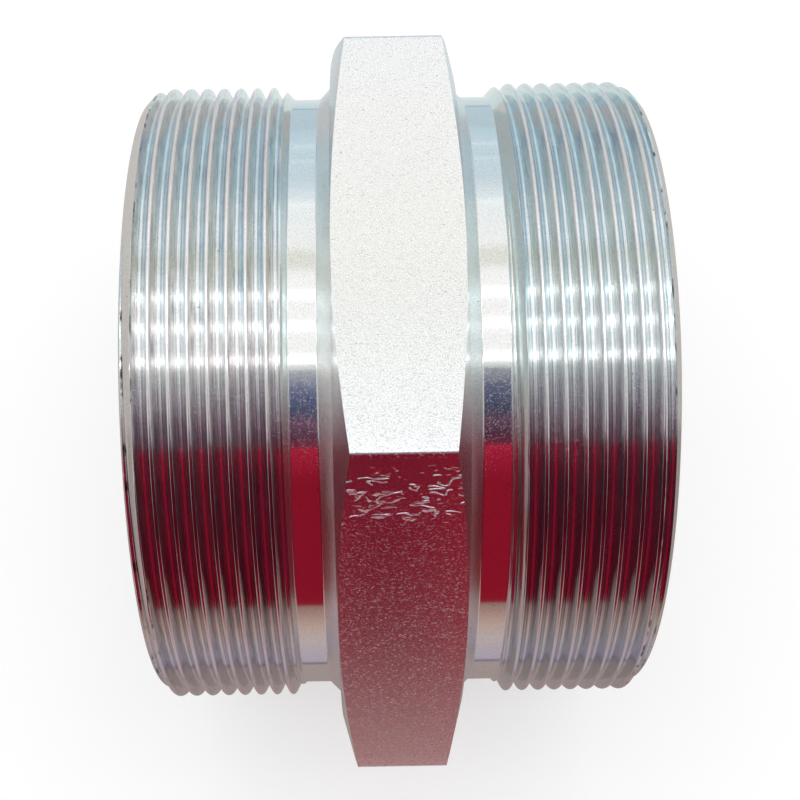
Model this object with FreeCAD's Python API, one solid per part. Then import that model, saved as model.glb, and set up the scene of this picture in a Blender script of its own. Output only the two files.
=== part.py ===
# Threaded pipe adapter: one turned steel piece with a hexagon in the middle
# and the same parallel pipe thread at both ends.
#
# Own frame: the bore runs along X, +Z is up, and the origin is on the axis at
# the middle of the hexagon. The adapter lies on one flat of the hexagon.
# All sizes are in millimetres.

import FreeCAD, Part
import math
import os

Vec = FreeCAD.Vector
X_AXIS = Vec(1, 0, 0)
ORIGIN = Vec(0, 0, 0)

# Hexagon in the middle
hex_across_flats = 95.0
hex_width = 16.0
hex_chamfer_circle = 94.4
hex_chamfer_angle = 15.0

# Parallel pipe thread, 11 turns to the inch, 55 degree flanks
thread_major_dia = 87.884
thread_pitch = 25.4 / 11
thread_depth_per_pitch = 0.640327
thread_flank_angle = 27.5
thread_length = 20.0
thread_first_crest = 0.72
end_chamfer = 1.7

# Turned neck between the hexagon and each thread
neck_dia = 84.4
neck_width = 3.5
shoulder = 1.75

# Bore with a conical sealing seat at each end
bore_dia = 73.0
seat_mouth_dia = 79.5
seat_cone_angle = 60.0

# How far a cutting shape is drawn past the metal that it takes away
overshoot = 1.0
groove_overshoot = 0.25

# Sizes that follow from the ones above
thread_depth = thread_depth_per_pitch * thread_pitch
flank_slope = math.tan(math.radians(thread_flank_angle))
major_r = thread_major_dia / 2
minor_r = major_r - thread_depth
neck_r = neck_dia / 2
hex_face_x = hex_width / 2
neck_start_x = hex_face_x + shoulder
thread_start_x = neck_start_x + neck_width
end_x = thread_start_x + thread_length


def revolved(points):
    """A solid turned about X from a closed outline of (x, radius) points."""
    corners = [Vec(x, 0, radius) for x, radius in points]
    outline = Part.makePolygon(corners + corners[:1])
    return Part.Face(outline).revolve(ORIGIN, X_AXIS, 360)


def turned_blank():
    """Necks, thread blanks and 45 degree shoulders, solid through the middle."""
    relief = major_r - neck_r
    half = [
        (0, neck_r + shoulder),
        (hex_face_x, neck_r + shoulder),
        (neck_start_x, neck_r),
        (thread_start_x, neck_r),
        (thread_start_x + relief, major_r),
        (end_x - end_chamfer, major_r),
        (end_x, major_r - end_chamfer),
    ]
    other_half = [(-x, radius) for x, radius in half[1:]]
    return revolved([(end_x, 0)] + half[::-1] + other_half + [(-end_x, 0)])


def hexagon():
    """The hexagon, lying on a flat, with its corners chamfered on both sides."""
    corner_r = hex_across_flats / math.sqrt(3)
    corners = []
    for i in range(6):
        angle = math.radians(60 * i)
        corners.append(Vec(-hex_face_x, corner_r * math.cos(angle), corner_r * math.sin(angle)))
    outline = Part.makePolygon(corners + corners[:1])
    prism = Part.Face(outline).extrude(Vec(hex_width, 0, 0))
    circle_r = hex_chamfer_circle / 2
    outer_r = corner_r + overshoot
    drop = (outer_r - circle_r) * math.tan(math.radians(hex_chamfer_angle))
    chamfered = revolved([
        (-hex_face_x, 0),
        (-hex_face_x, circle_r),
        (-hex_face_x + drop, outer_r),
        (hex_face_x - drop, outer_r),
        (hex_face_x, circle_r),
        (hex_face_x, 0),
    ])
    return prism.common(chamfered)


def bore():
    """What is bored out: a straight bore that opens into a cone at each end."""
    bore_r = bore_dia / 2
    mouth_r = seat_mouth_dia / 2
    cone_slope = math.tan(math.radians(seat_cone_angle / 2))
    seat_depth = (mouth_r - bore_r) / cone_slope
    outside_x = end_x + overshoot
    outside_r = mouth_r + overshoot * cone_slope
    return revolved([
        (-outside_x, 0),
        (-outside_x, outside_r),
        (-end_x + seat_depth, bore_r),
        (end_x - seat_depth, bore_r),
        (outside_x, outside_r),
        (outside_x, 0),
    ])


def thread_groove():
    """The helical groove of the +X thread, as the solid that the tool cuts away.

    It starts in the neck, which is deeper than the thread, and runs out past
    the end face, so the ridges end on the two chamfers as cut threads do. Its
    bottom is sharp, and the small rounding of the real one is left out.
    """
    mouth_half = (thread_depth + groove_overshoot) * flank_slope
    # The groove lies half a pitch from the crests, and the helix starts a
    # quarter turn before the +Y side, where the first crest is measured.
    first_groove = end_x - thread_first_crest - thread_pitch / 2 - thread_pitch / 4
    start_limit = thread_start_x - neck_width / 2
    turns_back = math.floor((first_groove - start_limit) / thread_pitch)
    start = first_groove - turns_back * thread_pitch
    turns = math.ceil((end_x + thread_pitch - start) / thread_pitch)
    helix = Part.makeLongHelix(thread_pitch, turns * thread_pitch, major_r, 0)
    mouth_r = major_r + groove_overshoot
    section = Part.makePolygon([
        Vec(mouth_r, 0, -mouth_half),
        Vec(minor_r, 0, 0),
        Vec(mouth_r, 0, mouth_half),
        Vec(mouth_r, 0, -mouth_half),
    ])
    sweep = Part.BRepOffsetAPI.MakePipeShell(helix)
    sweep.setFrenetMode(True)
    sweep.add(section)
    sweep.build()
    sweep.makeSolid()
    groove = sweep.shape()
    groove.rotate(ORIGIN, Vec(0, 1, 0), 90)
    groove.translate(Vec(start, 0, 0))
    return groove


def adapter():
    """The whole piece: the blank with its hexagon, bored out and threaded."""
    body = turned_blank().fuse(hexagon()).removeSplitter()
    body = body.cut(bore())
    groove = thread_groove()
    other_groove = groove.copy()
    other_groove.rotate(ORIGIN, Vec(0, 1, 0), 180)
    return body.cut([groove, other_groove])


os.makedirs("parts", exist_ok=True)
shape = adapter()
solid = shape.Solids[0]
print("solids", len(shape.Solids), "valid", shape.isValid(), "volume cm3", round(shape.Volume / 1000, 2))
print("box", shape.optimalBoundingBox())
solid.exportStep("parts/adapter_body.step")
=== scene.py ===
# %% [markdown]
# # A threaded pipe adapter in bright zinc plate
#
# The adapter is one piece of steel, turned on a lathe and plated with zinc. It
# has a hexagon in the middle, a plain neck on each side of it, and the same
# pipe thread at both ends. This lesson builds its looks around the packed
# model, which sets every size. The steps are the camera, the room, the
# profile, the threads, the hexagon, the finishes and the swap for the solid.

import math

import bmesh
import bpy
from mathutils import Matrix, Vector


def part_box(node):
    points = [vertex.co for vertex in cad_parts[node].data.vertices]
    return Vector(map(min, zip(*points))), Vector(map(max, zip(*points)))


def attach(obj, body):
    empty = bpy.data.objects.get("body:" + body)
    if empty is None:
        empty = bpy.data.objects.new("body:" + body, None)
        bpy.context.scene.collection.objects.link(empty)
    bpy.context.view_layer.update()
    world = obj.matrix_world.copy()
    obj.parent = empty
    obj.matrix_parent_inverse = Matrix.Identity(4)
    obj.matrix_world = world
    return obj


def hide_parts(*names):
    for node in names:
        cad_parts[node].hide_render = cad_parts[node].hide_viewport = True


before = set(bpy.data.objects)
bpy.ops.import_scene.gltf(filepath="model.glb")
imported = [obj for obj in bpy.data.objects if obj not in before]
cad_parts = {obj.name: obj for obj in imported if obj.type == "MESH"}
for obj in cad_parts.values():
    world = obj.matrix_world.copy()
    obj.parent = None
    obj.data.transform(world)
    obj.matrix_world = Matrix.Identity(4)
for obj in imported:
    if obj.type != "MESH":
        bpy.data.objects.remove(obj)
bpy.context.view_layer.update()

# %% [markdown]
# Blender works in metres and a drawing of a fitting is in millimetres. The
# sizes below are those of the real part, so the mesh is made in millimetres
# and scaled once at the end.
#
# The thread is a parallel pipe thread with 11 turns to the inch. Its flanks
# lean 27.5 degrees to each side. Its crests are rounded with the radius of the
# standard. The roots get half of it here, which keeps the bright line at the
# bottom of each groove as thin as the picture has it.

# %% Sizes in millimetres
MM = 0.001

ACROSS_FLATS = 95.0
HEX_HALF_WIDTH = 8.0
HEX_CHAMFER_RADIUS = 47.2
HEX_CHAMFER_ANGLE = math.radians(15)

MAJOR_RADIUS = 43.942
PITCH = 25.4 / 11
FLANK_ANGLE = math.radians(27.5)
THREAD_DEPTH = 0.640327 * PITCH
CREST_FLAT = PITCH / 6
CREST_ROUND = 0.137329 * PITCH
ROOT_ROUND = CREST_ROUND / 2
FIRST_CREST = 0.72

NECK_RADIUS = 42.2
SHOULDER_START = 9.75
THREAD_START = 13.25
END_FACE = 33.25
END_CHAMFER = 1.7

SEAT_MOUTH_RADIUS = 39.75
SEAT_HALF_ANGLE = math.radians(30)
BORE_RADIUS = 36.5

low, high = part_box("adapter_body")
print("box of the node in mm:", [round((b - a) / MM, 2) for a, b in zip(low, high)])
print("hexagon across its corners in mm:", round(ACROSS_FLATS / math.cos(math.pi / 6), 2))

# %% [markdown]
# ## Camera
#
# The picture looks down on the adapter, which lies on one flat of its hexagon.
# The camera is close, about 20 cm from the axis, so the middle of the part
# looks larger than its ends. The place was worked out from the spacing of the
# thread crests, which is 2.31 mm everywhere on the real part: where they look
# wider apart, the surface is nearer. A small frame shift puts the part where
# the picture has it, and a roll of one degree matches its tilt.

# %% Camera
CAMERA_DISTANCE = 204.84
CAMERA_ELEVATION = math.radians(67.02)
CAMERA_SIDE = -4.2
AIM_BELOW_AXIS = 11.43
CAMERA_ROLL = math.radians(-1.0)
IMAGE_SIDE = 800
FOCAL_PIXELS = 1376.8
FRAME_SHIFT = (0.0424, 0.0875)

outward = Vector((0, -math.cos(CAMERA_ELEVATION), math.sin(CAMERA_ELEVATION)))
upward = Vector((0, math.sin(CAMERA_ELEVATION), math.cos(CAMERA_ELEVATION)))
on_axis = Vector((CAMERA_SIDE, 0, 0))
camera_data = bpy.data.cameras.new("Camera")
camera = bpy.data.objects.new("Camera", camera_data)
bpy.context.scene.collection.objects.link(camera)
camera.location = (on_axis + CAMERA_DISTANCE * outward) * MM
aim = (on_axis - AIM_BELOW_AXIS * upward) * MM
look = (aim - camera.location).to_track_quat("-Z", "Y").to_matrix()
roll = Matrix.Rotation(CAMERA_ROLL, 3, "Z")
camera.rotation_euler = (look @ roll).to_euler()
camera_data.sensor_width = 36
camera_data.lens = FOCAL_PIXELS / IMAGE_SIDE * camera_data.sensor_width
camera_data.shift_x, camera_data.shift_y = FRAME_SHIFT
camera_data.clip_start = 0.01
bpy.context.scene.camera = camera
print("lens in mm:", round(camera_data.lens, 2))

# %% [markdown]
# ## Colours and nodes
#
# Colours are written as hex values, as a paint program shows them. Blender
# calculates with linear light, so one function turns a hex value into linear
# numbers. A second small function adds a node to a material, fills in its
# settings and joins its sockets, and gives a Color Ramp its stops. That keeps
# every material short.

# %% Colour and node helpers
def colour(hex_value):
    """Linear colour with alpha for an sRGB hex value such as "#C8D0D4"."""
    channels = [int(hex_value[i:i + 2], 16) / 255 for i in (1, 3, 5)]
    linear = [c / 12.92 if c <= 0.04045 else ((c + 0.055) / 1.055) ** 2.4 for c in channels]
    return (*linear, 1.0)


def add_node(tree, kind, inputs, stops=(), **settings):
    """Adds a node, sets its fields, and fills or joins its input sockets.

    The stops of a Color Ramp are pairs of a position and a hex value."""
    node = tree.nodes.new(kind)
    for field, value in settings.items():
        setattr(node, field, value)
    if stops:
        elements = node.color_ramp.elements
        while len(elements) < len(stops):
            elements.new(0.5)
        for element, (position, hex_value) in zip(elements, stops):
            element.position = position
            element.color = colour(hex_value)
    for socket, value in inputs.items():
        if isinstance(value, bpy.types.NodeSocket):
            tree.links.new(value, node.inputs[socket])
        else:
            node.inputs[socket].default_value = value
    return node


def new_material(name):
    """An empty material with its node tree."""
    material = bpy.data.materials.new(name)
    material.use_nodes = True
    material.node_tree.nodes.clear()
    return material, material.node_tree


print("a middle grey in linear light:", round(colour("#808080")[0], 3))

# %% [markdown]
# ## Room
#
# Bright metal has hardly a colour of its own. What it shows is the room, so
# the room is half of the work. The part lies on a white table under a white
# ceiling with three strip lamps. A wine-red card stands in front of it. Above
# that card are the two legs of the camera stand, violet at the foot, dark blue
# further up and pale at the top. They only show as reflections in the lower
# half of the part. The walls are pale, with two thin light lines on the one at the back.
#
# The cards are seen by reflections only. They could also be a picture wrapped
# round the scene, but cards have a size and a place in millimetres, which is
# easier to set against the bands on the metal. The colour of a card runs
# along one of its sides through a Color Ramp, so one card carries several
# bands. Where one card covers another, the narrower one is nearer.

# %% Table and world
def plane_object(name, centre, side_u, side_v, material):
    """A flat card from its centre and the two vectors along its sides, in mm."""
    mesh = bpy.data.meshes.new(name)
    bm = bmesh.new()
    bmesh.ops.create_grid(bm, x_segments=1, y_segments=1, size=0.5)
    normal = side_u.cross(side_v).normalized()
    place = Matrix.Translation(centre * MM) @ Matrix(
        (side_u * MM, side_v * MM, normal)).transposed().to_4x4()
    bmesh.ops.transform(bm, matrix=place, verts=bm.verts)
    bm.to_mesh(mesh)
    bm.free()
    mesh.materials.append(material)
    card = bpy.data.objects.new(name, mesh)
    bpy.context.scene.collection.objects.link(card)
    return card


# Matt white paint on board. It glows a little by itself, which renders it white
# with a faint shadow, and needs no more light on the part.
TABLE_GLOW = 0.42
table_paint, tree = new_material("matt_white_table")
paint = add_node(tree, "ShaderNodeBsdfPrincipled", {
    "Base Color": colour("#CACACA"), "Roughness": 0.9, "Specular IOR Level": 0.1,
    "Emission Color": colour("#FFFFFF"), "Emission Strength": TABLE_GLOW})
add_node(tree, "ShaderNodeOutputMaterial", {"Surface": paint.outputs[0]})
TABLE_HEIGHT = low[2] / MM
TABLE_SIDE = 4000
plane_object("table", Vector((0, 0, TABLE_HEIGHT)),
             Vector((TABLE_SIDE, 0, 0)), Vector((0, TABLE_SIDE, 0)), table_paint)

world = bpy.data.worlds.new("pale_room")
world.use_nodes = True
world.node_tree.nodes.clear()
room_light = add_node(world.node_tree, "ShaderNodeBackground", {
    "Color": colour("#FFFFFF"), "Strength": 1.0})
add_node(world.node_tree, "ShaderNodeOutputWorld", {"Surface": room_light.outputs[0]})
bpy.context.scene.world = world
print("table height in mm:", round(TABLE_HEIGHT, 2))

# %% Wine-red card in front
def reflection_card(name, centre, side_u, side_v, stops, strength=1.0):
    """A card whose colour runs along side_v, and which only glossy rays meet.

    It stands for a lit wall, board or fitting, so its material is plain light."""
    material, tree = new_material(name + "_card")
    where = add_node(tree, "ShaderNodeTexCoord", {})
    along = add_node(tree, "ShaderNodeVectorMath", {
        0: where.outputs["Object"], 1: side_v / side_v.length_squared / MM},
        operation="DOT_PRODUCT")
    start = centre.dot(side_v) / side_v.length_squared - 0.5
    level = add_node(tree, "ShaderNodeMath", {0: along.outputs["Value"], 1: start},
                     operation="SUBTRACT")
    ramp = add_node(tree, "ShaderNodeValToRGB", {"Fac": level.outputs[0]}, stops)
    glow = add_node(tree, "ShaderNodeEmission", {
        "Color": ramp.outputs["Color"], "Strength": strength})
    add_node(tree, "ShaderNodeOutputMaterial", {"Surface": glow.outputs[0]})
    card = plane_object(name, centre, side_u, side_v, material)
    card.visible_camera = False
    card.visible_diffuse = False
    card.visible_shadow = False


# Each row is a name, a width and how much nearer to the part the card stands,
# in mm, and its colours.
FRONT_Y = -222
FRONT_TOP = 256
for name, width, forward, stops in (
        ("front", 170, 0, [(0.0, "#93162B"), (0.7, "#93162B"), (1.0, "#B5223F")]),
        ("front_middle", 26, 4, [(0.0, "#66112A"), (1.0, "#66112A")]),
        ("front_wings", 520, -4, [(0.0, "#6C1026"), (0.8, "#6C1026"), (1.0, "#7A2A3A")]),
        ("front_sides", 900, -8, [(0.0, "#3E2128"), (0.8, "#3E2128"), (1.0, "#5C3A42")])):
    centre = Vector((0, FRONT_Y + forward, (FRONT_TOP + TABLE_HEIGHT) / 2))
    reflection_card(name, centre, Vector((width, 0, 0)),
                    Vector((0, 0, FRONT_TOP - TABLE_HEIGHT)), stops)
print("height of the front card in mm:", round(FRONT_TOP - TABLE_HEIGHT, 1))

# %% Camera stand, ceiling and back wall
def toward(angle, distance):
    """A point at an angle in the Y-Z plane: 0 is the front, 90 is overhead."""
    return Vector((0, -math.cos(math.radians(angle)), math.sin(math.radians(angle)))) * distance


STAND = [(0.0, "#7A2A3E"), (0.16, "#552E47"), (0.31, "#6E465F"), (0.46, "#3C4062"),
         (0.62, "#48527C"), (0.77, "#666C8E"), (0.93, "#A2A7B5")]
FRONT_ROOM = [(0.0, "#8B545F"), (0.2, "#856974"), (0.4, "#A2989E"), (0.6, "#BCBCBC"),
              (1.0, "#E8EEEA")]
CEILING = [(0.0, "#FFFFFF"), (0.58, "#FFFFFF"), (0.64, "#E6E6DF"), (0.71, "#E6E6DF"),
           (0.77, "#FAFAFA"), (1.0, "#F4F8FA")]
BACK_WALL = [(0.0, "#F4F8FA"), (0.09, "#F4F8FA"), (0.12, "#FFFFFF"), (0.16, "#E6F0F5"),
             (0.36, "#CCDBE3"), (0.53, "#CCDDE6"), (0.557, "#DAE8EF"), (0.58, "#C6D9E2"),
             (0.7, "#CBDDE6"), (0.732, "#DCEAF1"), (0.77, "#C8DAE4"), (1.0, "#BCD2DC")]
BACK_WALL_SIDES = [(0.0, "#D4DCE4"), (1.0, "#A4B0C4")]
BACK_WALL_ENDS = [(0.0, "#F6EEE8"), (1.0, "#E8DEDC")]
OVER_FRONT = (49, 75)
ROOM_FRONT = (46, 77)
OVERHEAD = (76, 134)
AT_BACK = (134, 183.2)

# Each row is a name, two angles, a distance, a length and a middle along X in
# mm, a strength and the colours.
OVER_THE_PART = (
    ("stand_left", OVER_FRONT, 320, 28, -27, 1.0, STAND),
    ("stand_right", OVER_FRONT, 320, 28, 38, 0.75, STAND),
    ("room_front", ROOM_FRONT, 350, 460, 0, 1.0, FRONT_ROOM),
    ("ceiling", OVERHEAD, 900, 1500, 0, 1.16, CEILING),
    ("back_wall", AT_BACK, 900, 460, 0, 1.18, BACK_WALL),
    ("back_wall_sides", AT_BACK, 940, 960, 0, 1.0, BACK_WALL_SIDES),
    ("back_wall_ends", AT_BACK, 980, 3600, 0, 1.0, BACK_WALL_ENDS))
for name, angles, distance, length, middle, strength, stops in OVER_THE_PART:
    first, last = [toward(angle, distance) for angle in angles]
    centre = (first + last) / 2 + Vector((middle, 0, 0))
    reflection_card(name, centre, Vector((length, 0, 0)), last - first, stops, strength)
print("cards over the part:", [row[0] for row in OVER_THE_PART])

# %% Table top and side walls
# Each row is a name, a middle and a width along X, two places along Y and how
# far the card lies above the table, in mm, and its colours. The front and back
# ones have a dark line each, like the edge of a board.
for name, middle, width, near, far, lift, stops in (
        ("table_back", 16, 100, 60, 1060, 0.5,
         [(0.0, "#ECF0F0"), (0.112, "#D8E8EA"), (0.118, "#8C9FC8"), (0.126, "#C8DCE6"),
          (1.0, "#C8DAE4")]),
        ("table_far", 0, 280, 430, 1130, 0.4, [(0.0, "#C8DCE6"), (1.0, "#C8DAE4")]),
        ("table_front", 0, 900, -222, -22, 0.5,
         [(0.0, "#9C7A74"), (0.2, "#B08E86"), (0.42, "#C8ACA2"), (0.58, "#C8B9B8"),
          (0.745, "#B8AEBC"), (0.756, "#6A6074"), (0.767, "#B0A09C"), (1.0, "#9A8C8A")]),
        ("table_sides", 0, 2400, -220, 1060, 0.3,
         [(0.0, "#A79C9C"), (0.3, "#D6D0CE"), (1.0, "#D8D4D2")])):
    centre = Vector((middle, (near + far) / 2, TABLE_HEIGHT + lift))
    reflection_card(name, centre, Vector((width, 0, 0)), Vector((0, far - near, 0)), stops)

WALL_X = 900
WALL_LENGTH = 2400
WALL_MIDDLE = 500
WALL_HEIGHT = 1100
for side, name in ((-1, "left_wall"), (1, "right_wall")):
    reflection_card(name, Vector((side * WALL_X, 0, WALL_MIDDLE)),
                    Vector((0, side * WALL_LENGTH, 0)), Vector((0, 0, WALL_HEIGHT)),
                    [(0.0, "#B5ABAB"), (0.06, "#D6D0CE"), (0.3, "#DAD6D4"), (1.0, "#B4B8BC")])
print("cards:", [m.name for m in bpy.data.materials if m.name.endswith("_card")])

# %% Strip lamps
LAMP_DISTANCE = 700
LAMP_LENGTH = 1600
LAMP_WIDTH = 26
LAMP_BRIGHTNESS = 2.0
for name, angle in (("strip_front", 79.3), ("strip_middle", 91.2), ("strip_back", 102.4)):
    lamp_data = bpy.data.lights.new(name, "AREA")
    lamp_data.shape = "RECTANGLE"
    lamp_data.size = LAMP_LENGTH * MM
    lamp_data.size_y = LAMP_WIDTH * MM
    lamp_data.energy = LAMP_BRIGHTNESS * math.pi * lamp_data.size * lamp_data.size_y
    lamp = bpy.data.objects.new(name, lamp_data)
    bpy.context.scene.collection.objects.link(lamp)
    lamp.location = toward(angle, LAMP_DISTANCE) * MM
    lamp.rotation_euler = (-lamp.location).to_track_quat("-Z", "Y").to_euler()
    lamp.visible_camera = False

# %% [markdown]
# ## Turned profile
#
# A turned part is one outline carried round an axis. Its outline is drawn as
# a few points on the X-Z plane and bmesh rounds the corners with a bevel that
# works on vertices. Then spin carries it round in 144 steps. That number
# divides by six, so a column of the mesh falls on every corner of the
# hexagon, and a step of 2.5 degrees leaves no facets that the eye can see.
#
# Only one half of the part is made. The other half is the same shape turned
# half round about the Y axis, which keeps both threads right-handed.

# %% Spin the plain surfaces
STEPS_ROUND = 144
MERGE = 0.004
FILLET = 0.35
SEAT_ROUND = 0.3
BROKEN_EDGE = 0.2
X_AXIS = Vector((1, 0, 0))
NECK_JOIN = THREAD_START + 0.17
END_JOIN = END_FACE - 0.15
seat_depth = (SEAT_MOUTH_RADIUS - BORE_RADIUS) / math.tan(SEAT_HALF_ANGLE)
neck_join_radius = NECK_RADIUS + NECK_JOIN - THREAD_START
end_radius = MAJOR_RADIUS - END_CHAMFER
end_join_radius = end_radius + END_FACE - END_JOIN


def chain(bm, points):
    """A wire through points given as x and radius."""
    verts = [bm.verts.new((x, radius, 0)) for x, radius in points]
    for first, second in zip(verts, verts[1:]):
        bm.edges.new((first, second))
    return verts


def round_corner(bm, vert, radius, segments):
    """Rounds the corner of a wire at a vertex."""
    one, two = [(edge.other_vert(vert).co - vert.co) for edge in vert.link_edges]
    offset = radius / math.tan(one.angle(two) / 2)
    bmesh.ops.bevel(bm, geom=[vert], offset=offset, offset_type="OFFSET", affect="VERTICES",
                    segments=segments, profile=0.5, material=-1)


def spin_round(bm):
    """Carries everything in a bmesh once round the X axis."""
    bmesh.ops.spin(bm, geom=bm.verts[:] + bm.edges[:], cent=(0, 0, 0), axis=X_AXIS,
                   angle=2 * math.pi, steps=STEPS_ROUND, use_merge=True)


half = bmesh.new()
neck = chain(half, [(NECK_JOIN, neck_join_radius), (THREAD_START, NECK_RADIUS),
                    (SHOULDER_START, NECK_RADIUS),
                    (HEX_HALF_WIDTH, NECK_RADIUS + SHOULDER_START - HEX_HALF_WIDTH),
                    (HEX_HALF_WIDTH, HEX_CHAMFER_RADIUS)])
for vert in neck[1:3]:
    round_corner(half, vert, FILLET, 3)
round_corner(half, neck[3], BROKEN_EDGE, 2)
inside = chain(half, [(END_JOIN, end_join_radius), (END_FACE, end_radius),
                      (END_FACE, SEAT_MOUTH_RADIUS), (END_FACE - seat_depth, BORE_RADIUS),
                      (0, BORE_RADIUS)])
round_corner(half, inside[1], FILLET, 3)
round_corner(half, inside[2], BROKEN_EDGE, 2)
round_corner(half, inside[3], SEAT_ROUND, 2)
spin_round(half)
print("plain surfaces of one half:", len(half.faces), "faces")

# %% [markdown]
# ## Thread
#
# A pipe thread is a groove that climbs along the axis as it goes round. In
# Blender it could be a Screw modifier, a Boolean cut or a spin that also
# moves along the axis. The spin is the cleanest: one tooth, from root to root,
# is carried round and moved by one pitch a turn, so that each turn starts
# where the last one ended, and merging the doubles closes them.
#
# On the lathe the thread was cut into a bar that already had its end chamfer
# and its relief cone. So each vertex is pressed down to the bar's own radius
# where the tooth would stand above it, and the first and last turns are
# gathered into a ring that meets the plain surfaces.

# %% Spin the thread
TURNS = 10
CUT = 2
minor_radius = MAJOR_RADIUS - THREAD_DEPTH
crest_x = END_FACE - FIRST_CREST
while crest_x + PITCH / 2 > NECK_JOIN:
    crest_x -= PITCH


def bar_radius(x):
    """Radius of the plain bar before the thread was cut."""
    relief = NECK_RADIUS + x - THREAD_START
    chamfer = end_radius + END_FACE - x
    return min(MAJOR_RADIUS, relief, chamfer)


thread = bmesh.new()
root_half = CREST_FLAT / 2
tooth = chain(thread, [(crest_x - PITCH / 2, minor_radius),
                       (crest_x - PITCH / 2 + root_half, minor_radius),
                       (crest_x - CREST_FLAT / 2, MAJOR_RADIUS),
                       (crest_x + CREST_FLAT / 2, MAJOR_RADIUS),
                       (crest_x + PITCH / 2 - root_half, minor_radius),
                       (crest_x + PITCH / 2, minor_radius)])
for vert in (tooth[1], tooth[4]):
    round_corner(thread, vert, ROOT_ROUND, 4)
for vert in (tooth[2], tooth[3]):
    round_corner(thread, vert, CREST_ROUND, 4)
LONG_EDGE = 0.5
long_edges = [e for e in thread.edges if e.calc_length() > LONG_EDGE]
bmesh.ops.subdivide_edges(thread, edges=long_edges, cuts=2)
profile_points = len(thread.verts)
bmesh.ops.spin(thread, geom=thread.verts[:] + thread.edges[:], cent=(0, 0, 0), axis=X_AXIS,
               dvec=(PITCH / STEPS_ROUND, 0, 0), angle=2 * math.pi,
               steps=STEPS_ROUND, use_merge=False)
one_turn = thread.verts[:] + thread.edges[:] + thread.faces[:]
for turn in range(1, TURNS):
    made = bmesh.ops.duplicate(thread, geom=one_turn)["geom"]
    bmesh.ops.translate(thread, vec=X_AXIS * PITCH * turn,
                        verts=[g for g in made if isinstance(g, bmesh.types.BMVert)])
for vert in thread.verts:
    x = min(max(vert.co.x, NECK_JOIN), END_JOIN)
    flat = Vector((0, vert.co.y, vert.co.z))
    radius = min(flat.length, bar_radius(x))
    vert.co = flat.normalized() * radius + X_AXIS * x
bmesh.ops.remove_doubles(thread, verts=thread.verts, dist=MERGE)
for face in thread.faces:
    face.material_index = CUT
print("points across one tooth:", profile_points, "and faces of the thread:", len(thread.faces))

# %% [markdown]
# ## Hexagon
#
# The hexagon is drawn bar whose flats keep the grain of the mill, while its
# faces and its 15 degree chamfer are turned. The chamfer is a cone, so it
# meets each flat in a curve. The ring of the turned face is extruded outwards
# once for the cone and once more for half of the flats. Each new vertex goes
# to the radius of the hexagon at its angle, and to the depth of the cone
# there.

# %% Extrude the hexagon
def hexagon_radius(vert):
    """Distance from the axis to the hexagon at the angle of a vertex."""
    sixth = math.pi / 3
    angle = math.atan2(vert.co.z, vert.co.y) % sixth
    return ACROSS_FLATS / 2 / math.cos(angle - sixth / 2)


def ring_at(bm, x, radius):
    """The boundary edges of a bmesh that lie on a circle."""
    on_circle = [v for v in bm.verts if abs(v.co.x - x) < 0.01
                 and abs(v.co.yz.length - radius) < 0.01]
    return [e for e in bm.edges if e.is_boundary and all(v in on_circle for v in e.verts)]


def extrude_ring(bm, edges):
    """Extrudes a ring of edges and returns its new edges, vertices and faces."""
    made = bmesh.ops.extrude_edge_only(bm, edges=edges)["geom"]
    return ([g for g in made if isinstance(g, bmesh.types.BMEdge) and g.is_boundary],
            [g for g in made if isinstance(g, bmesh.types.BMVert)],
            [g for g in made if isinstance(g, bmesh.types.BMFace)])


DRAWN = 1
SHOULDER = 3
ring = ring_at(half, HEX_HALF_WIDTH, HEX_CHAMFER_RADIUS)
rim, rim_verts, _ = extrude_ring(half, ring)
for vert in rim_verts:
    radius = hexagon_radius(vert)
    depth = (radius - HEX_CHAMFER_RADIUS) * math.tan(HEX_CHAMFER_ANGLE)
    vert.co = Vector((0, vert.co.y, vert.co.z)).normalized() * radius
    vert.co.x = HEX_HALF_WIDTH - depth
_, middle_verts, flat_faces = extrude_ring(half, rim)
for vert in middle_verts:
    vert.co.x = 0
for face in flat_faces:
    face.material_index = DRAWN
for face in half.faces:
    centre = face.calc_center_median()
    beside_hexagon = 0 < centre.x < SHOULDER_START and centre.yz.length > NECK_RADIUS
    if beside_hexagon and face.material_index != DRAWN:
        face.material_index = SHOULDER
print("columns round the hexagon:", len(ring))

# %% Join the pieces of one half, then the two halves
thread_mesh = bpy.data.meshes.new("thread")
thread.to_mesh(thread_mesh)
thread.free()
half.from_mesh(thread_mesh)
bpy.data.meshes.remove(thread_mesh)
copy = bmesh.ops.duplicate(half, geom=half.verts[:] + half.edges[:] + half.faces[:])
bmesh.ops.rotate(half, cent=(0, 0, 0), matrix=Matrix.Rotation(math.pi, 3, "Y"),
                 verts=[g for g in copy["geom"] if isinstance(g, bmesh.types.BMVert)])
bmesh.ops.remove_doubles(half, verts=half.verts, dist=MERGE)
bmesh.ops.recalc_face_normals(half, faces=half.faces)
print("open edges:", sum(1 for e in half.edges if not e.is_manifold))

# %% Break the hexagon's edges
def meets(edge, angle_over):
    """True where a flat of the hexagon meets its neighbour at more than an angle."""
    drawn = [face.material_index == DRAWN for face in edge.link_faces]
    return any(drawn) and edge.calc_face_angle(0) > math.radians(angle_over)


CORNER_ROUND = 0.4
corners = [e for e in half.edges if meets(e, 50) and e.link_faces[0].material_index
           == e.link_faces[1].material_index]
bmesh.ops.bevel(half, geom=corners, offset=CORNER_ROUND, offset_type="OFFSET", affect="EDGES",
                segments=3, profile=0.5, material=-1)
print("corner edges broken:", len(corners))

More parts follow.
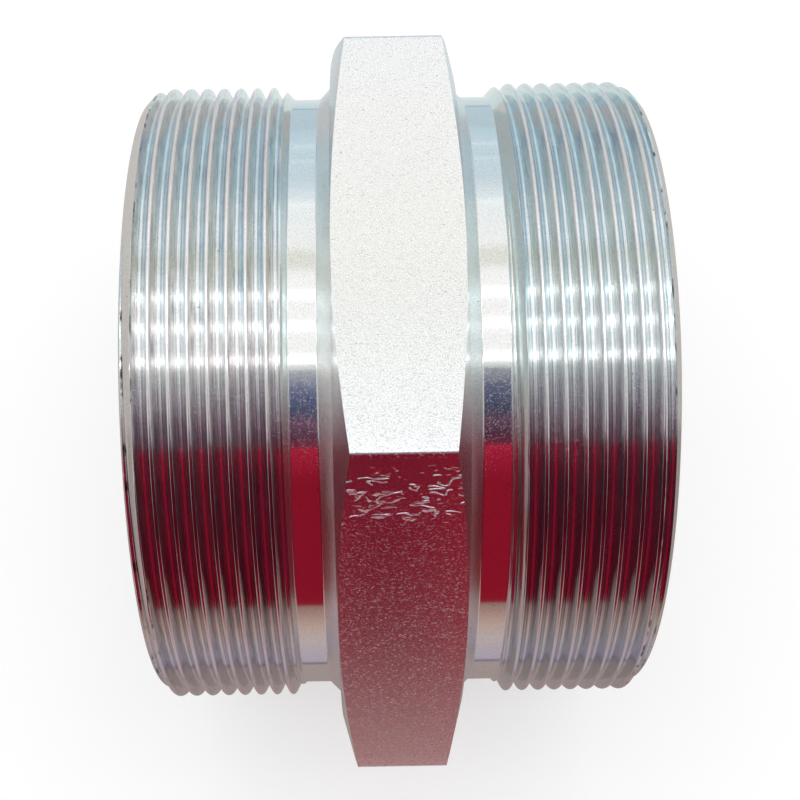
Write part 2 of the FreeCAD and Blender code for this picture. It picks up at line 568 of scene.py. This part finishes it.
# %% The finished mesh
SHARP_OVER = math.radians(32)
bmesh.ops.scale(half, vec=(MM, MM, MM), verts=half.verts)
adapter_mesh = bpy.data.meshes.new("adapter")
half.to_mesh(adapter_mesh)
half.free()
adapter = bpy.data.objects.new("adapter", adapter_mesh)
bpy.context.scene.collection.objects.link(adapter)
adapter_mesh.shade_smooth()
adapter_mesh.set_sharp_from_angle(angle=SHARP_OVER)
weighted = adapter.modifiers.new("Weighted normals", "WEIGHTED_NORMAL")
weighted.keep_sharp = True
print("triangles:", sum(len(p.vertices) - 2 for p in adapter_mesh.polygons))

# %% [markdown]
# ## Turned and plated steel
#
# The part is turned steel under bright zinc plate, whose passivation has a
# faint blue and cream tint. The lathe leaves fine grooves that run round the
# part. They scatter a reflection sideways, along the axis, and hardly round
# it. That is why the lamps draw level bands right across necks, cones and
# threads.
#
# Anisotropy does the same here: its tangent is worked out from the position,
# at right angles to the grooves. A fine noise stretched round the axis makes
# single grooves show. The real feed marks are about 0.1 mm apart, and the
# noise is slightly coarser, because a finer one wouldn't show.
#
# The passivation is a thin film, and its tint drifts between cream, blue and
# grey. The shader has a thin film of its own, but its rainbow is harder to set
# against a picture. So a Color Ramp paints the tint along a value that runs
# from the front of the part to its back and wanders a little. The ramps also
# hold painted reflections and painted shade in places, such as a pink cast of
# the red card and darker bands towards the front.

# %% Where the film is, and scattered dots
HALF_DEPTH = 45.0
DRIFT_SIZE = 9.0


def front_to_back(tree, at, wander):
    """0 at the front of the part and 1 at its back, wandering a little."""
    split = add_node(tree, "ShaderNodeSeparateXYZ", {"Vector": at})
    level = add_node(tree, "ShaderNodeMapRange", {
        "Value": split.outputs["Y"], "From Min": -HALF_DEPTH * MM, "From Max": HALF_DEPTH * MM})
    drift = add_node(tree, "ShaderNodeTexNoise", {
        "Vector": at, "Scale": 1 / (DRIFT_SIZE * MM), "Detail": 3.0})
    centred = add_node(tree, "ShaderNodeMath", {0: drift.outputs["Fac"], 1: 0.5},
                       operation="SUBTRACT")
    moved = add_node(tree, "ShaderNodeMath", {
        0: centred.outputs[0], 1: wander, 2: level.outputs["Result"]}, operation="MULTIPLY_ADD")
    return moved.outputs[0]


def dots(tree, at, spacing, inner, outer):
    """1 on small dots scattered at a spacing in mm, with radii as shares of it."""
    cells = add_node(tree, "ShaderNodeTexVoronoi", {
        "Vector": at, "Scale": 1 / (spacing * MM), "Randomness": 1.0})
    spots = add_node(tree, "ShaderNodeMapRange", {
        "Value": cells.outputs["Distance"], "From Min": outer, "From Max": inner})
    return spots.outputs["Result"]


print("the film's value runs over", 2 * HALF_DEPTH, "mm")

# %% Lathe grooves
GROOVE_SHORTENING = 9


def lathe_grooves(tree, at, spacing):
    """A noise that is fine across the grooves and long round the axis.

    The distance from the axis comes with it."""
    radial = add_node(tree, "ShaderNodeVectorMath", {0: at, 1: (0, 1, 1)}, operation="MULTIPLY")
    reach = add_node(tree, "ShaderNodeVectorMath", {0: radial.outputs[0]}, operation="LENGTH")
    unit = add_node(tree, "ShaderNodeVectorMath", {0: radial.outputs[0]}, operation="NORMALIZE")
    spread = add_node(tree, "ShaderNodeVectorMath", {
        0: unit.outputs[0], 1: (GROOVE_SHORTENING,) * 3}, operation="MULTIPLY")
    split = add_node(tree, "ShaderNodeSeparateXYZ", {"Vector": at})
    along = add_node(tree, "ShaderNodeMath", {
        0: split.outputs["X"], 1: reach.outputs["Value"]}, operation="ADD")
    fine = add_node(tree, "ShaderNodeMath", {0: along.outputs[0], 1: 1 / (spacing * MM)},
                    operation="MULTIPLY")
    lift = add_node(tree, "ShaderNodeCombineXYZ", {"X": fine.outputs[0]})
    groove_at = add_node(tree, "ShaderNodeVectorMath", {
        0: lift.outputs[0], 1: spread.outputs[0]}, operation="ADD")
    grooves = add_node(tree, "ShaderNodeTexNoise", {
        "Vector": groove_at.outputs[0], "Scale": 1.0, "Detail": 2.0, "Roughness": 0.6})
    return grooves.outputs["Fac"], reach.outputs["Value"]


print("a groove fades after about", round(NECK_RADIUS / GROOVE_SHORTENING, 1), "mm")

# %% [markdown]
# ## Film and painted reflections on the thread
#
# A thread has three kinds of surface, and each shows another part of the room:
# flanks that face the hexagon, flanks that face the end, and crests. Each kind
# gets its own colour ramp, a faint film tint mixed with a painted reflection of
# its part of the room, such as darker crests at the front. The side of a flank
# comes from its normal and the half of the part that it is on. The crest is
# where the radius is largest. The end chamfer and the relief cone are plain
# turned cones, and the sum or difference of radius and x is constant on them,
# which makes a mask for each. Painted shade darkens patches where the last
# groove runs out into the chamfer.
#
# Light bounces three times between the flanks, so a slight tint counts three
# times. That is why the tints look so faint here.

# %% Thread film and painted reflections
# A mask of the radius begins and is full at these depths in mm, measured from
# the crest or the cone.
CREST_FILM_AND_REFLECTION_DEPTH = (0.09, 0.045)
CONE_DEPTH = (0.08, 0.04)
# Painted shade where the last groove runs out into the chamfer: its depths and the size of its
# patches.
RUN_OUT_SHADE_DEPTH = (0.5, 0.3)
RUN_OUT_SHADE_PATCH = 3.0
CONE_TINT = "#EAECE8"


def thread_film_and_reflections(tree, at, normal, reach, grooves, place, films_and_reflections):
    """The colour of a thread: a tint with painted reflections for its inner flanks, outer flanks
    and crest.
    """
    inner, outer, crest_film_and_reflection_colour = [
        add_node(tree, "ShaderNodeValToRGB", {"Fac": place}, film_and_painted_light).outputs["Color"]
        for film_and_painted_light in films_and_reflections]
    streaks = add_node(tree, "ShaderNodeValToRGB", {"Fac": grooves},
                       [(0.3, "#D8D8DA"), (0.52, "#FFFFFF")])
    skin = add_node(tree, "ShaderNodeMix", {0: 1.0, 6: inner, 7: streaks.outputs["Color"]},
                    data_type="RGBA", blend_type="MULTIPLY").outputs[2]

    split = add_node(tree, "ShaderNodeSeparateXYZ", {"Vector": at})
    lean = add_node(tree, "ShaderNodeSeparateXYZ", {"Vector": normal})
    side = add_node(tree, "ShaderNodeMath", {0: split.outputs["X"]}, operation="SIGN")
    inward = add_node(tree, "ShaderNodeMath", {0: split.outputs["X"]}, operation="ABSOLUTE")
    to_end = add_node(tree, "ShaderNodeMath", {0: lean.outputs["X"], 1: side.outputs[0]},
                      operation="MULTIPLY")
    on_chamfer = add_node(tree, "ShaderNodeMath", {0: reach, 1: inward.outputs[0]}, operation="ADD")
    on_relief = add_node(tree, "ShaderNodeMath", {0: reach, 1: inward.outputs[0]},
                         operation="SUBTRACT")
    chamfer = end_radius + END_FACE
    relief = NECK_RADIUS - THREAD_START
    # Painted shade: patches of dark grey where the last groove runs out into the chamfer.
    run_out_shade_patches = add_node(tree, "ShaderNodeTexNoise", {
        "Vector": at, "Scale": 1 / (RUN_OUT_SHADE_PATCH * MM), "Detail": 3.0})
    run_out = add_node(tree, "ShaderNodeMapRange", {
        "Value": on_chamfer.outputs[0], "From Min": (chamfer - RUN_OUT_SHADE_DEPTH[0]) * MM,
        "From Max": (chamfer - RUN_OUT_SHADE_DEPTH[1]) * MM})
    # Painted reflection: the right half of the thread is tinted slightly bluer.
    bluer_reflection_on_right = add_node(tree, "ShaderNodeMapRange", {
        "Value": split.outputs["X"], "From Min": -1 * MM, "From Max": 1 * MM})

    # Each row is a value, where its mask begins and is full, the mask's
    # strength, and the colour that it brings.
    for value, start, full, strength, tint in (
            (to_end.outputs[0], -0.4, 0.4, 1.0, outer),
            (reach, (MAJOR_RADIUS - CREST_FILM_AND_REFLECTION_DEPTH[0]) * MM,
             (MAJOR_RADIUS - CREST_FILM_AND_REFLECTION_DEPTH[1]) * MM, 1.0, crest_film_and_reflection_colour),
            # painted shade at the run-out of the last groove
            (run_out_shade_patches.outputs["Fac"], 0.53, 0.62, run_out.outputs["Result"], colour("#6A625E")),
            (on_chamfer.outputs[0], (chamfer - CONE_DEPTH[0]) * MM,
             (chamfer - CONE_DEPTH[1]) * MM, 1.0, colour(CONE_TINT)),
            (on_relief.outputs[0], (relief - CONE_DEPTH[0]) * MM,
             (relief - CONE_DEPTH[1]) * MM, 1.0, colour(CONE_TINT))):
        mask = add_node(tree, "ShaderNodeMapRange", {
            "Value": value, "From Min": start, "From Max": full, "To Max": strength})
        skin = add_node(tree, "ShaderNodeMix", {0: mask.outputs["Result"], 6: skin, 7: tint},
                        data_type="RGBA").outputs[2]
    # The bluer right half is a painted reflection.
    half_reflection_tint = add_node(tree, "ShaderNodeMix", {
        0: bluer_reflection_on_right.outputs["Result"], 6: colour("#FFFFFF"), 7: colour("#FAFEFF")},
        data_type="RGBA")
    return add_node(tree, "ShaderNodeMix", {0: 1.0, 6: skin, 7: half_reflection_tint.outputs[2]},
                    data_type="RGBA", blend_type="MULTIPLY").outputs[2]


print("the crest film starts at a radius of", round(MAJOR_RADIUS - CREST_FILM_AND_REFLECTION_DEPTH[0], 3))

# %% [markdown]
# ## The finish itself
#
# Under the film, zinc is a metal with a mirror-like gloss, so Metallic is 1
# and the roughness is low: 0.09 on necks and bore, 0.12 on the thread, and
# 0.25 on the duller faces beside the hexagon. Zinc grains, a few dark specks,
# glints and sparks complete it. A glint is a crystal that leans out of the
# surface. A spark is a painted glint: a near-white dot with Metallic down to
# 0.6, which shows as a light dot where the reflection is dark. The picture has
# neither at the very front, so both fade in behind it.

# %% Turned finish
GLINTS_FADE_IN = (0.21, 0.29)
GLINT_SPACING = 0.2
GLINT_HEIGHT = 0.014
SPARK_SPACING = 0.32
SPARK_METALLIC = 0.6
GRAIN_SIZE = 0.11
SPECK_SPACING = 2.0


def turned_zinc(name, spacing, depth, roughness, *films_and_reflections):
    """Bright zinc on turned steel, with grooves of a spacing and depth in mm.

    One colour ramp, a tint with painted reflections, is for plain surfaces, and three are for a
    thread."""
    material, tree = new_material(name)
    at = add_node(tree, "ShaderNodeTexCoord", {}).outputs["Object"]
    normal = add_node(tree, "ShaderNodeNewGeometry", {}).outputs["Normal"]
    round_axis = add_node(tree, "ShaderNodeVectorMath", {0: X_AXIS, 1: at},
                          operation="CROSS_PRODUCT")
    across = add_node(tree, "ShaderNodeVectorMath", {0: normal, 1: round_axis.outputs[0]},
                      operation="CROSS_PRODUCT")
    tangent = add_node(tree, "ShaderNodeVectorMath", {0: across.outputs[0]}, operation="NORMALIZE")

    grooves, reach = lathe_grooves(tree, at, spacing)
    place = front_to_back(tree, at, 0.12)
    behind = add_node(tree, "ShaderNodeMapRange", {
        "Value": place, "From Min": GLINTS_FADE_IN[0], "From Max": GLINTS_FADE_IN[1]})
    glints, sparks = [
        add_node(tree, "ShaderNodeMath", {0: spots, 1: behind.outputs["Result"]},
                 operation="MULTIPLY").outputs[0]
        for spots in (dots(tree, at, GLINT_SPACING, 0.05, 0.22),
                      dots(tree, at, SPARK_SPACING, 0.08, 0.24))]
    groove_bump = add_node(tree, "ShaderNodeBump", {
        "Height": grooves, "Distance": depth * MM, "Strength": 1.0})
    glint_bump = add_node(tree, "ShaderNodeBump", {
        "Height": glints, "Distance": GLINT_HEIGHT * MM, "Strength": 1.0,
        "Normal": groove_bump.outputs["Normal"]})

    if len(films_and_reflections) == 3:
        skin = thread_film_and_reflections(tree, at, normal, reach, grooves, place, films_and_reflections)
    else:
        skin = add_node(tree, "ShaderNodeValToRGB", {"Fac": place}, films_and_reflections[0]).outputs["Color"]
    grain = add_node(tree, "ShaderNodeTexNoise", {
        "Vector": at, "Scale": 1 / (GRAIN_SIZE * MM), "Detail": 1.0})
    grain_shade = add_node(tree, "ShaderNodeValToRGB", {"Fac": grain.outputs["Fac"]},
                           [(0.32, "#E6E6E6"), (0.56, "#FFFFFF")])
    skin = add_node(tree, "ShaderNodeMix", {0: 1.0, 6: skin, 7: grain_shade.outputs["Color"]},
                    data_type="RGBA", blend_type="MULTIPLY").outputs[2]
    specks = dots(tree, at, SPECK_SPACING, 0.03, 0.06)
    # The near-white of the sparks is a painted glint.
    for spots, tint in ((specks, "#6E655E"), (sparks, "#F4F4F4")):
        skin = add_node(tree, "ShaderNodeMix", {0: spots, 6: skin, 7: colour(tint)},
                        data_type="RGBA").outputs[2]
    metal = add_node(tree, "ShaderNodeMapRange", {
        "Value": sparks, "To Min": 1.0, "To Max": SPARK_METALLIC})
    plate = add_node(tree, "ShaderNodeBsdfPrincipled", {
        "Base Color": skin, "Metallic": metal.outputs["Result"], "Roughness": roughness,
        "Anisotropic": 0.5, "Tangent": tangent.outputs[0],
        "Normal": glint_bump.outputs["Normal"]})
    add_node(tree, "ShaderNodeOutputMaterial", {"Surface": plate.outputs[0]})
    return material


print("glints fade in between these values of the film:", GLINTS_FADE_IN)

# %% Three turned finishes
# Necks, seats and bore: finely turned, then zinc plated.
turned = turned_zinc("bright_zinc_on_turned_steel", 0.13, 0.0015, 0.09,
                     [(0.0, "#E8E8E8"), (0.5, "#EAEBE9"), (1.0, "#E2E8EA")])
# The faces and chamfers beside the flats: turned more coarsely, then plated.
# Its ramp holds a pink painted reflection of the red card towards the front.
shoulder = turned_zinc("dull_zinc_on_turned_shoulder", 0.2, 0.004, 0.25,
                       [(0.0, "#E8E8EC"), (0.06, "#E8E6E8"), (0.12, "#E0CCD0"), (0.24, "#E0CED0"),
                        (0.32, "#E6EAEA"), (0.4, "#E4F2F4"), (0.5, "#DCEAEE"), (1.0, "#DAE6EA")])
# The thread: cut with a single-point tool in several passes, then plated.
# Each ramp mixes a faint film tint with a painted reflection of the room, seen as darker and lilac
# bands towards the front of the part.
inner_flank_film_and_reflection = [(0.0, "#DEDCDE"), (0.08, "#D2D4D4"), (0.18, "#D4EAE4"), (0.29, "#F8F4F2"),
                (0.38, "#EEE6E6"), (0.49, "#FAECDC"), (0.62, "#EEF0E6"), (0.8, "#E2F6EE"),
                (0.88, "#E0E4E4")]
outer_flank_film_and_reflection = [(0.0, "#DEDCDE"), (0.1, "#D3D2DA"), (0.2, "#CED8E0"), (0.27, "#C9B9C4"),
                (0.37, "#F4FFFF"), (0.5, "#C9E3F8"), (0.62, "#CFDAE8"), (0.8, "#DED6E0"),
                (0.88, "#E0DEE2")]
crest_film_and_reflection = [(0.0, "#E8E2E8"), (0.1, "#D6C6CA"), (0.15, "#8E8088"), (0.21, "#A6989E"),
          (0.27, "#FFFFFF"), (0.52, "#EEEEF0"), (0.67, "#FEEEE0"), (0.84, "#FFF4FF")]
cut = turned_zinc("bright_zinc_on_cut_thread", 0.16, 0.004, 0.12,
                  inner_flank_film_and_reflection, outer_flank_film_and_reflection, crest_film_and_reflection)
print("nodes in the plain finish:", len(turned.node_tree.nodes),
      "and in the thread's:", len(cut.node_tree.nodes))

# %% [markdown]
# ## Drawn bar under zinc
#
# The flats of the hexagon are the skin of a bar that was drawn through a die.
# It is slightly rough, with a fine grain that glitters through the zinc, flecks
# that stand proud, tiny dark pits, and wrinkles just below the front corner.
# The real grain is a few hundredths of a millimetre. It is drawn at 0.12 mm,
# about one pixel, because a finer one wouldn't show. Grain, flecks and
# wrinkles are a bump each, from fine to coarse.
#
# The flecks are the peaks of a noise. They are weak below the corner and grow
# towards the foot of the part. A wrinkle is a line along which a soft noise
# crosses its middle value, and a Map Range turns that line into a ridge. A
# second noise keeps them in patches.

# %% Flecks
FLECK_SIZE = 0.22


def flecks(tree, at):
    """Peaks of a noise that stand proud, stronger towards the foot of the part."""
    fleck_at = add_node(tree, "ShaderNodeMapping", {"Vector": at, "Scale": (0.6, 1, 1)})
    noise = add_node(tree, "ShaderNodeTexNoise", {
        "Vector": fleck_at.outputs[0], "Scale": 1 / (FLECK_SIZE * MM), "Detail": 2.0,
        "Roughness": 0.6, "Distortion": 1.0})
    proud = add_node(tree, "ShaderNodeMapRange", {
        "Value": noise.outputs["Fac"], "From Min": 0.61, "From Max": 0.72})
    split = add_node(tree, "ShaderNodeSeparateXYZ", {"Vector": at})
    height = add_node(tree, "ShaderNodeMapRange", {
        "Value": split.outputs["Z"], "From Min": 0.0, "From Max": ACROSS_FLATS / 2 * MM})
    strong = add_node(tree, "ShaderNodeValToRGB", {"Fac": height.outputs["Result"]},
                      [(0.3, "#E8E8E8"), (0.75, "#9C9C9C"), (0.93, "#303030"),
                       (0.985, "#303030"), (0.995, "#A0A0A0")])
    product = add_node(tree, "ShaderNodeMath", {
        0: proud.outputs["Result"], 1: strong.outputs["Color"]}, operation="MULTIPLY")
    return product.outputs[0]


print("flecks of", FLECK_SIZE, "mm")

# %% Wrinkles
FRONT_CORNER = Vector((0, -ACROSS_FLATS / 2 / math.sqrt(3), ACROSS_FLATS / 2))
DOWN_THE_FLAT = Vector((0, -0.5, -math.sqrt(3) / 2))
# They lie round a line this far below the corner. They fade in at the first
# of two distances from it and are full at the second, all in mm.
WRINKLES_BELOW = 6.2
WRINKLES_REACH = (4.8, 2.6)
WRINKLE_SIZE = 1.2
PATCH_SIZE = 1.6


def wrinkles(tree, at):
    """Ridges in patches, along a line on the flat below the front corner."""
    middle = (FRONT_CORNER + WRINKLES_BELOW * DOWN_THE_FLAT).cross(X_AXIS) * MM
    level_with = add_node(tree, "ShaderNodeVectorMath", {0: at, 1: X_AXIS},
                          operation="CROSS_PRODUCT")
    gap = add_node(tree, "ShaderNodeVectorMath", {0: level_with.outputs[0], 1: middle},
                   operation="DISTANCE")
    near = add_node(tree, "ShaderNodeMapRange", {
        "Value": gap.outputs["Value"], "From Min": WRINKLES_REACH[0] * MM,
        "From Max": WRINKLES_REACH[1] * MM})
    wrinkle_at = add_node(tree, "ShaderNodeMapping", {"Vector": at, "Scale": (0.4, 1, 1)})
    noise = add_node(tree, "ShaderNodeTexNoise", {
        "Vector": wrinkle_at.outputs[0], "Scale": 1 / (WRINKLE_SIZE * MM), "Detail": 1.0,
        "Roughness": 0.5, "Distortion": 0.6})
    off_middle = add_node(tree, "ShaderNodeMath", {0: noise.outputs["Fac"], 1: 0.5},
                          operation="SUBTRACT")
    either_side = add_node(tree, "ShaderNodeMath", {0: off_middle.outputs[0]},
                           operation="ABSOLUTE")
    ridge = add_node(tree, "ShaderNodeMapRange", {
        "Value": either_side.outputs[0], "From Min": 0.07, "From Max": 0.0})
    patches = add_node(tree, "ShaderNodeTexNoise", {
        "Vector": at, "Scale": 1 / (PATCH_SIZE * MM), "Detail": 1.0})
    patch = add_node(tree, "ShaderNodeMapRange", {
        "Value": patches.outputs["Fac"], "From Min": 0.47, "From Max": 0.53,
        "To Max": near.outputs["Result"]})
    fold = add_node(tree, "ShaderNodeMath", {
        0: ridge.outputs["Result"], 1: patch.outputs["Result"]}, operation="MULTIPLY")
    return fold.outputs[0]


print("the wrinkles lie", WRINKLES_BELOW, "mm below the front corner")

# %% Drawn finish
BAR_GRAIN_SIZE = 0.12
BAR_GRAIN_HEIGHT = 0.012
FLECK_HEIGHT = 0.062
WRINKLE_HEIGHT = 0.12
PIT_SPACING = 1.3
drawn, tree = new_material("satin_zinc_on_drawn_bar")
at = add_node(tree, "ShaderNodeTexCoord", {}).outputs["Object"]
grain = add_node(tree, "ShaderNodeTexNoise", {
    "Vector": at, "Scale": 1 / (BAR_GRAIN_SIZE * MM), "Detail": 2.0, "Roughness": 0.7})
bump = add_node(tree, "ShaderNodeBump", {
    "Height": grain.outputs["Fac"], "Distance": BAR_GRAIN_HEIGHT * MM, "Strength": 1.0})
for height, distance in ((flecks(tree, at), FLECK_HEIGHT),
                         (wrinkles(tree, at), WRINKLE_HEIGHT)):
    bump = add_node(tree, "ShaderNodeBump", {
        "Height": height, "Distance": distance * MM, "Strength": 1.0,
        "Normal": bump.outputs["Normal"]})

shade = add_node(tree, "ShaderNodeValToRGB", {"Fac": grain.outputs["Fac"]},
                 [(0.3, "#D2D1D0"), (0.5, "#EFEFED"), (0.7, "#FCFCFB")])
# The film ramp is a tint with painted light in it: the pink on the flat below the front corner is a
# painted reflection of the red card, and the slightly darker band from that corner onto the top
# flat is painted shade.
film_and_painted_light = add_node(tree, "ShaderNodeValToRGB", {"Fac": front_to_back(tree, at, 0.05)},
                [(0.0, "#F6E4F0"), (0.15, "#F6E2F0"), (0.2, "#EEF0F4"), (0.32, "#F8FAFC"),
                 (0.5, "#FFFFFF"), (1.0, "#FAFAFC")])
skin = add_node(tree, "ShaderNodeMix", {
    0: 1.0, 6: shade.outputs["Color"], 7: film_and_painted_light.outputs["Color"]},
    data_type="RGBA", blend_type="MULTIPLY")
pitted = add_node(tree, "ShaderNodeMix", {
    0: dots(tree, at, PIT_SPACING, 0.03, 0.07), 6: skin.outputs[2], 7: colour("#7D7066")},
    data_type="RGBA")
plate = add_node(tree, "ShaderNodeBsdfPrincipled", {
    "Base Color": pitted.outputs[2], "Metallic": 1.0, "Roughness": 0.18,
    "Normal": bump.outputs["Normal"]})
add_node(tree, "ShaderNodeOutputMaterial", {"Surface": plate.outputs[0]})

for finish in (turned, drawn, cut, shoulder):
    adapter_mesh.materials.append(finish)
print("material slots:", [m.name for m in adapter_mesh.materials])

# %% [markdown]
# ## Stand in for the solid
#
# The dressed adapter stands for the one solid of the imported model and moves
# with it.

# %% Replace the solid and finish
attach(adapter, "root")
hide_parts("adapter_body")
bpy.context.scene.view_settings.view_transform = "Standard"

bpy.context.view_layer.update()
